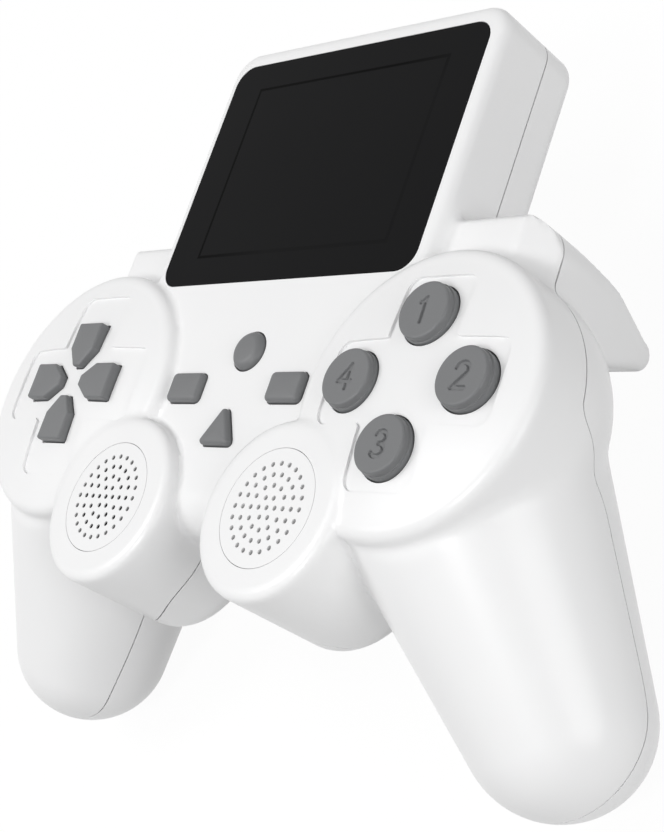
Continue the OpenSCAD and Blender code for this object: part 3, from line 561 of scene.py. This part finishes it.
# Each direction key is a small house that points at the keys' centre; this is the upper one
DKEY_HOUSE = [(-DKEY_HALF_W, DKEY_OUT), (-DKEY_HALF_W, DKEY_EAVES), (-DKEY_TIP_HALF_W, DKEY_TIP),
              (DKEY_TIP_HALF_W, DKEY_TIP), (DKEY_HALF_W, DKEY_EAVES), (DKEY_HALF_W, DKEY_OUT)]
DKEY_TURNS = {"up_key": 0, "left_key": 90, "down_key": 180, "right_key": 270}
BUTTON_SPOTS = {"top_button": (0, BUTTON_UP), "inner_button": (-BUTTON_ACROSS, 0),
                "bottom_button": (0, -BUTTON_UP), "outer_button": (BUTTON_ACROSS, 0)}


def triangle(r):
    return [(r * math.cos(t), r * math.sin(t)) for t in (math.pi / 2, math.pi * 7 / 6, math.pi * 11 / 6)]


def box_corners(x, y, w, h):
    return [(x + a * w / 2, y + b * h / 2) for a, b in ((-1, 1), (-1, -1), (1, -1), (1, 1))]


# Openings in the skin: negative where it is cut away
def plus(x, y, z):
    x = np.abs(x) - PAD_X
    y = y - KEYS_Y
    level = rect(x, y, PLUS_REACH, PLUS_HALF_W, PLUS_CORNER)
    upright = rect(x, y, PLUS_HALF_W, PLUS_REACH, PLUS_CORNER)
    return np.minimum(level, upright)


def dkey_holes(x, y, z):
    x = x + PAD_X
    y = y - KEYS_Y
    return np.min([polygon(u, v, DKEY_HOUSE) for u, v in ((x, y), (-x, -y), (y, -x), (-y, x))], axis=0) - KEY_GAP


def button_holes(x, y, z):
    spots = BUTTON_SPOTS.values()
    return np.min([np.hypot(x - PAD_X - u, y - KEYS_Y - v) for u, v in spots], axis=0) - BUTTON_R - KEY_GAP


def middle_holes(x, y, z):
    d = np.hypot(x, y - RESET_Y) - RESET_R
    d = np.minimum(d, rect(np.abs(x) - SELECT_X, y - SELECT_Y, SELECT_W / 2, SELECT_H / 2, SELECT_CORNER))
    volume = triangle(VOLUME_R - 2 * VOLUME_CORNER)
    return np.minimum(d, polygon(x, y - VOLUME_Y, volume) - VOLUME_CORNER) - KEY_GAP


def grille_holes(x, y, z):
    return np.hypot(np.abs(x) - POD_X, y - POD_Y) - GRILLE_R - FIT_GAP


def lens_hole(x, y, z):
    return rect(x, y, LENS_W / 2 + FIT_GAP, LENS_H / 2 + FIT_GAP, LENS_R)


SOCKET_Z, SOCKET_HALF_W, SOCKET_HALF_H, SOCKET_R = -11.2, 4.8, 1.9, 0.8
KNOB_X, KNOB_Z, KNOB_HALF_W, KNOB_HALF_H, KNOB_R = 14.0, -11.3, 2.7, 1.0, 0.3
PORTS_FROM_Y = 24.0


def port_holes(x, y, z):
    socket = rect(x, z - SOCKET_Z, SOCKET_HALF_W, SOCKET_HALF_H, SOCKET_R)
    slot = rect(x - KNOB_X, z - KNOB_Z, KNOB_HALF_W, KNOB_HALF_H, KNOB_R)
    return np.maximum(np.minimum(socket, slot), PORTS_FROM_Y - y)


DOOR_HALF_W, DOOR_FOOT, DOOR_FRONT, DOOR_BACK = 22.0, -12.0, -14.1, -30.0


def door_hole(x, y, z):
    return np.maximum(np.maximum(np.abs(x) - DOOR_HALF_W, DOOR_FOOT - y), np.maximum(z - DOOR_FRONT, DOOR_BACK - z))


# Places of the screw wells on the right half, with the height of their floors
SCREW_SPOTS = {(27.05, 24.1): -16.3, (31.05, -29.0): -16.3, (54.52, -73.38): -30.7}
WELL_R, WELL_SLACK = 2.25, 0.05


def screw_wells(x, y, z):
    return np.min([np.hypot(np.abs(x) - u, y - v) for u, v in SCREW_SPOTS], axis=0) - WELL_R


for hole in (lens_hole, plus, middle_holes, grille_holes, port_holes):
    skin, front, _ = split(skin, front, hole, body, SNAP)
for hole in (port_holes, door_hole, screw_wells):
    skin, rear, _ = split(skin, rear, hole, body, SNAP)


def shell_solid(tris, wells):
    """Wall behind a part of the skin, with the walls of the screw wells where asked for."""
    points, tris = compact(skin, tris)
    normal = gradient(body, points)
    normal /= np.linalg.norm(normal, axis=1)[:, None]
    inner = points - SHELL_T * normal
    if wells:
        edge = np.unique(rim(tris))
        for (u, v), z in SCREW_SPOTS.items():
            off_rim = np.hypot(np.abs(points[edge, 0]) - u, points[edge, 1] - v) - WELL_R
            on = edge[np.abs(off_rim) < WELL_SLACK]
            inner[on] = points[on]
            inner[on, 2] = z
    return thicken(points, tris, inner)


# Floors of the plus-shaped recesses, with the holes of the keys
PLATE_STEP, PLATE_SPARE_CELLS, PLATE_LAP, PLATE_SNAP = 0.4, 4, 0.4, 0.08


def plate(centre_x, holes):
    n = int(PLUS_REACH / PLATE_STEP) + PLATE_SPARE_CELLS
    line = np.arange(-n, n + 1) * PLATE_STEP
    gx, gy = np.meshgrid(line + centre_x, line + KEYS_Y, indexing="ij")
    points = np.stack([gx.ravel(), gy.ravel(), np.zeros(gx.size)], 1)
    m = 2 * n + 1
    cell = (np.arange(m - 1)[:, None] * m + np.arange(m - 1)[None, :]).ravel()
    flat = np.concatenate([np.stack([cell, cell + m, cell + m + 1], 1), np.stack([cell, cell + m + 1, cell + 1], 1)])
    points, _, flat = split(points, flat, lambda x, y, z: plus(x, y, z) - PLATE_LAP, None, PLATE_SNAP)
    points, flat, _ = split(points, flat, holes, None, PLATE_SNAP)
    points, flat = compact(points, flat)
    points[:, 2] = pad_face(np.hypot(points[:, 0] - centre_x, points[:, 1] - PAD_Y)) - PLUS_DEPTH
    return thicken(points, flat, points - np.array([0, 0, SHELL_T]))


add_piece("front_housing", *join(shell_solid(front, False), plate(-PAD_X, dkey_holes), plate(PAD_X, button_holes)),
          "console", "shell", "front_shell")
add_piece("rear_housing", *shell_solid(rear, True), "console", "shell", "rear_shell")


# Outlines and prisms for keys and mats
MITRE_LIMIT = 0.5


def round_outline(points, r, steps=5):
    """Outline with its corners rounded, counter-clockwise."""
    out = []
    n = len(points)
    for i in range(n):
        p = np.array(points[i], float)
        a = np.array(points[i - 1], float) - p
        b = np.array(points[(i + 1) % n], float) - p
        a /= np.linalg.norm(a)
        b /= np.linalg.norm(b)
        half = math.acos(np.clip(a @ b, -1, 1)) / 2
        centre = p + (a + b) / np.linalg.norm(a + b) * r / math.sin(half)
        start = p + a * r / math.tan(half) - centre
        end = p + b * r / math.tan(half) - centre
        t0 = math.atan2(start[1], start[0])
        sweep = (math.atan2(end[1], end[0]) - t0) % (2 * math.pi)
        turns = [t0 + sweep * k / steps for k in range(steps + 1)]
        out += [centre + r * np.array([math.cos(t), math.sin(t)]) for t in turns]
    return np.array(out)


def outline_normals(outline):
    edge = np.roll(outline, -1, 0) - outline
    n = np.stack([edge[:, 1], -edge[:, 0]], 1)
    n /= np.linalg.norm(n, axis=1)[:, None]
    both = n + np.roll(n, 1, 0)
    both /= np.linalg.norm(both, axis=1)[:, None]
    return both / np.maximum((both * n).sum(1), MITRE_LIMIT)[:, None]


def prism(outline, steps):
    """Rings of the outline, each moved out by the first number to the height of the second, closed at both ends."""
    normal = outline_normals(outline)
    n = len(outline)
    points = [np.column_stack([outline + normal * out, np.full(n, z)]) for out, z in steps]
    faces = []
    for k in range(len(steps) - 1):
        for i in range(n):
            j = (i + 1) % n
            faces.append([k * n + i, k * n + j, (k + 1) * n + j, (k + 1) * n + i])
    faces.append(list(range(n))[::-1])
    top = (len(steps) - 1) * n
    points = np.vstack(points + [np.array([[*outline.mean(0), steps[-1][1]]])])
    faces += [[top + i, top + (i + 1) % n, len(points) - 1] for i in range(n)]
    return points, faces


ROUND_SIDES = 64
circle = np.array([[math.cos(t), math.sin(t)] for t in np.arange(ROUND_SIDES) * 2 * math.pi / ROUND_SIDES])

# Heights of the keys: the flange inside the shell, where the sides start to show, and the top
FLANGE_W, PAD_FLANGE, MIDDLE_FLANGE = 0.5, (-1.2, -0.3), (-3.2, -2.3)
DKEY_LOW, DKEY_TOP, MIDDLE_LOW, MIDDLE_TOP, KEY_TOP = 1.0, 4.6, -1.5, 1.3, 4.8
DKEY_EDGE, RESET_EDGE, VOLUME_EDGE, SELECT_EDGE = 0.45, 1.5, 0.7, 0.8
EDGE_STEPS = 6


def key_steps(flange, low, top, r):
    steps = [(FLANGE_W, flange[0]), (FLANGE_W, flange[1]), (0.0, flange[1]), (0.0, low)]
    turns = np.linspace(0, math.pi / 2, EDGE_STEPS)
    return steps + [(-r * (1 - math.cos(t)), top - r * (1 - math.sin(t))) for t in turns]


# Direction keys
for name, turn in DKEY_TURNS.items():
    house = round_outline(DKEY_HOUSE, DKEY_EDGE)
    points, faces = prism(house, key_steps(PAD_FLANGE, DKEY_LOW, DKEY_TOP, DKEY_EDGE))
    t = math.radians(turn)
    x = points[:, 0] * math.cos(t) - points[:, 1] * math.sin(t) - PAD_X
    y = points[:, 0] * math.sin(t) + points[:, 1] * math.cos(t) + KEYS_Y
    add_piece(name + "_cap", np.column_stack([x, y, points[:, 2]]), faces, name, "key", name)


# Round buttons: a cap on a wider skirt, with a plain number engraved in its top
def stroke(x, y, points):
    d = np.full(np.shape(x), FAR)
    for (ax, ay), (bx, by) in zip(points[:-1], points[1:]):
        ex, ey = bx - ax, by - ay
        t = np.clip(((x - ax) * ex + (y - ay) * ey) / (ex * ex + ey * ey), 0, 1)
        d = np.minimum(d, np.hypot(x - ax - ex * t, y - ay - ey * t))
    return d


def arc(cx, cy, rx, ry, start, end, n=14):
    turns = np.radians(np.linspace(start, end, n))
    return [(cx + rx * math.cos(t), cy + ry * math.sin(t)) for t in turns]


NUMERALS = {
    "top_button": [(-0.8, 1.3), (0.15, 2.1), (0.15, -2.1)],
    "outer_button": arc(0, 1.0, 1.25, 1.15, 165, -40) + [(-1.25, -2.1), (1.35, -2.1)],
    "bottom_button": arc(0, 1.05, 1.15, 1.05, 150, -90) + arc(0, -1.05, 1.3, 1.1, 90, -150),
    "inner_button": [(0.75, -2.1), (0.75, 2.1), (-1.35, -0.8), (1.4, -0.8)],
}
STROKE_HALF_W, STROKE_SLOPE, STROKE_DEPTH = 0.42, 0.14, 0.4
CAP_R, CAP_H, CAP_EDGE, CAP_FILLET, SKIRT_EDGE = 5.1, 1.3, 0.38, 0.1, 0.2
CAP_SIDES, CAP_RINGS = 128, 46

skirt = KEY_TOP - CAP_H
profile = [((CAP_R - CAP_EDGE) * k / CAP_RINGS, KEY_TOP) for k in range(1, CAP_RINGS + 1)]
profile += [(CAP_R - CAP_EDGE * (1 - math.sin(t)), KEY_TOP - CAP_EDGE * (1 - math.cos(t)))
            for t in np.linspace(0, math.pi / 2, EDGE_STEPS + 1)[1:]]
profile += [(CAP_R, skirt + CAP_FILLET), (CAP_R + CAP_FILLET, skirt), (BUTTON_R - SKIRT_EDGE, skirt),
            (BUTTON_R - SKIRT_EDGE * 0.25, skirt - SKIRT_EDGE * 0.3), (BUTTON_R, skirt - SKIRT_EDGE),
            (BUTTON_R, PAD_FLANGE[1]), (BUTTON_R + FLANGE_W, PAD_FLANGE[1]), (BUTTON_R + FLANGE_W, PAD_FLANGE[0])]
angle = np.arange(CAP_SIDES) * 2 * math.pi / CAP_SIDES
rings = [np.column_stack([r * np.cos(angle), r * np.sin(angle), np.full(CAP_SIDES, z)]) for r, z in profile]
cap = np.vstack([np.array([[0, 0, KEY_TOP]]), *rings, np.array([[0, 0, PAD_FLANGE[0]]])])
side_by_side = [(i, (i + 1) % CAP_SIDES) for i in range(CAP_SIDES)]
cap_faces = [[0, 1 + i, 1 + j] for i, j in side_by_side]
for k in range(len(profile) - 1):
    base = 1 + k * CAP_SIDES
    cap_faces += [[base + i, base + CAP_SIDES + i, base + CAP_SIDES + j, base + j] for i, j in side_by_side]
base = 1 + (len(profile) - 1) * CAP_SIDES
cap_faces += [[base + j, base + i, len(cap) - 1] for i, j in side_by_side]
for name, (u, v) in BUTTON_SPOTS.items():
    mark = stroke(cap[:, 0], cap[:, 1], NUMERALS[name])
    engraved = np.clip((STROKE_HALF_W - mark) / STROKE_SLOPE, 0, 1) * STROKE_DEPTH
    points = cap + np.array([PAD_X + u, KEYS_Y + v, 0])
    points[:, 2] -= np.where(cap[:, 2] >= KEY_TOP - TINY, engraved, 0)
    add_piece(name + "_cap", points, cap_faces, name, "key", name)

# Middle keys: each with its place, outline and edge radius
volume = [(x, VOLUME_Y + y) for x, y in triangle(VOLUME_R)]
select = box_corners(-SELECT_X, SELECT_Y, SELECT_W, SELECT_H)
start = box_corners(SELECT_X, SELECT_Y, SELECT_W, SELECT_H)
MIDDLE_KEYS = {
    "reset_button": ((0, RESET_Y), circle * RESET_R + np.array([0, RESET_Y]), RESET_EDGE),
    "volume_button": ((0, VOLUME_Y), round_outline(volume, VOLUME_CORNER), VOLUME_EDGE),
    "select_button": ((-SELECT_X, SELECT_Y), round_outline(select, SELECT_CORNER), SELECT_EDGE),
    "start_button": ((SELECT_X, SELECT_Y), round_outline(start, SELECT_CORNER), SELECT_EDGE),
}
for name, (_, outline, r) in MIDDLE_KEYS.items():
    points, faces = prism(outline, key_steps(MIDDLE_FLANGE, MIDDLE_LOW, MIDDLE_TOP, r))
    add_piece(name + "_cap", points, faces, name, "key", name)

# Rubber mats: a sheet on the board, and a dome under each key
BOARD_TOP, MAT_TOP, MAT_EDGE, MAT_R = -8.0, -7.0, 0.2, 15.2
MIDDLE_MAT_W, MIDDLE_MAT_H, MIDDLE_MAT_R = 35.8, 23.7, 3.0
DOME_FOOT_R, DOME_TOP_R, DOME_NECK, DOME_NECK_AT = 3.0, 2.2, 0.8, 0.4
PAD_DOME_TOP, MIDDLE_DOME_TOP, TRAVEL = -1.3, -3.3, 1.2
DKEY_MIDDLE = (DKEY_OUT + DKEY_TIP) / 2


def mat_sheet(name, outline, node):
    steps = [(-MAT_EDGE, BOARD_TOP), (0, BOARD_TOP + MAT_EDGE), (0, MAT_TOP - MAT_EDGE), (-MAT_EDGE, MAT_TOP)]
    add_piece(name, *prism(outline, steps), "console", "key_rubber", node)


def mat_dome(key, x, y, top):
    height = top - MAT_TOP
    taper = DOME_TOP_R - DOME_FOOT_R
    steps = [(0, MAT_TOP - MAT_EDGE), (0, MAT_TOP + MAT_EDGE), (taper * DOME_NECK, MAT_TOP + height * DOME_NECK_AT),
             (taper, top - MAT_EDGE), (taper - MAT_EDGE, top)]
    foot = circle * DOME_FOOT_R + np.array([x, y])
    piece = add_piece(key + "_dome", *prism(foot, steps), "console", "key_rubber", None)
    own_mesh(piece)


middle_box = box_corners(0, (RESET_Y + VOLUME_Y) / 2, MIDDLE_MAT_W, MIDDLE_MAT_H)
mat_sheet("dpad_mat", circle * MAT_R + np.array([-PAD_X, KEYS_Y]), "dpad_membrane")
mat_sheet("face_mat", circle * MAT_R + np.array([PAD_X, KEYS_Y]), "face_membrane")
mat_sheet("middle_mat", round_outline(middle_box, MIDDLE_MAT_R), "middle_membrane")
for key, turn in DKEY_TURNS.items():
    t = math.radians(turn)
    mat_dome(key, -PAD_X - DKEY_MIDDLE * math.sin(t), KEYS_Y + DKEY_MIDDLE * math.cos(t), PAD_DOME_TOP)
for key, (u, v) in BUTTON_SPOTS.items():
    mat_dome(key, PAD_X + u, KEYS_Y + v, PAD_DOME_TOP)
for key, ((x, y), _, _) in MIDDLE_KEYS.items():
    mat_dome(key, x, y, MIDDLE_DOME_TOP)

# Stage: a pale floor and surroundings that are seen as white, and soft light from the front, low and right
WHITE, FLOOR_GREY = (1, 1, 1, 1), (0.5, 0.5, 0.5, 1)
AMBIENT, FLOOR_WHITE, FLOOR_SHARE = 0.31, 1.06, 0.9
FLOOR_REACH, FLOOR_GAP = 3.0, 0.0005
LAMP_AIM = Vector((0, 0, 0.03))
LAMPS = {
    "front_light": {"place": (-0.5, -0.05, 1.0), "size": 0.5, "watts": 4.9},
    "low_light": {"place": (0.24, -0.53, 0.96), "size": 0.25, "watts": 3.6},
    "right_light": {"place": (1.05, -0.11, 0.31), "size": 0.6, "watts": 4.1},
}


def background_rays(tree):
    """1 for the rays that see the plain white background: camera, glossy and transmission rays."""
    path = add_node(tree, "LightPath").outputs
    seen_or_glossy = calc(tree, "MAXIMUM", path["Is Camera Ray"], path["Is Glossy Ray"])
    return calc(tree, "MAXIMUM", seen_or_glossy, path["Is Transmission Ray"])


world = bpy.data.worlds.new("studio")
scene.world = world
world.use_nodes = True
tree = world.node_tree
tree.nodes.clear()
ambient = add_node(tree, "Background", {"Color": WHITE, "Strength": AMBIENT}).outputs["Background"]
seen = add_node(tree, "Background", {"Color": WHITE, "Strength": 1.0}).outputs["Background"]
mix = add_node(tree, "MixShader", {"Fac": background_rays(tree), 1: ambient, 2: seen})
add_node(tree, "OutputWorld", {"Surface": mix.outputs["Shader"]})

for name, lamp in LAMPS.items():
    data = bpy.data.lights.new(name, "AREA")
    data.size = lamp["size"]
    data.energy = lamp["watts"]
    light = bpy.data.objects.new(name, data)
    scene.collection.objects.link(light)
    light.location = lamp["place"]
    light.rotation_euler = (LAMP_AIM - Vector(lamp["place"])).to_track_quat("-Z", "Y").to_euler()

floor_mat = bpy.data.materials.new("floor")
floor_mat.use_nodes = True
tree = floor_mat.node_tree
tree.nodes.clear()
matte = add_node(tree, "BsdfDiffuse", {"Color": FLOOR_GREY}).outputs["BSDF"]
white = add_node(tree, "Emission", {"Color": WHITE, "Strength": FLOOR_WHITE}).outputs["Emission"]
share = calc(tree, "MULTIPLY", background_rays(tree), FLOOR_SHARE)
mix = add_node(tree, "MixShader", {"Fac": share, 1: matte, 2: white})
add_node(tree, "OutputMaterial", {"Surface": mix.outputs["Shader"]})

floor_mesh = bpy.data.meshes.new("floor")
floor_corners = [(a * FLOOR_REACH, b * FLOOR_REACH, 0) for a, b in ((-1, -1), (1, -1), (1, 1), (-1, 1))]
floor_mesh.from_pydata(floor_corners, [], [(0, 1, 2, 3)])
floor_mesh.materials.append(floor_mat)
floor = bpy.data.objects.new("floor", floor_mesh)
floor.location.z = cad_box[0][2] - FLOOR_GAP
scene.collection.objects.link(floor)
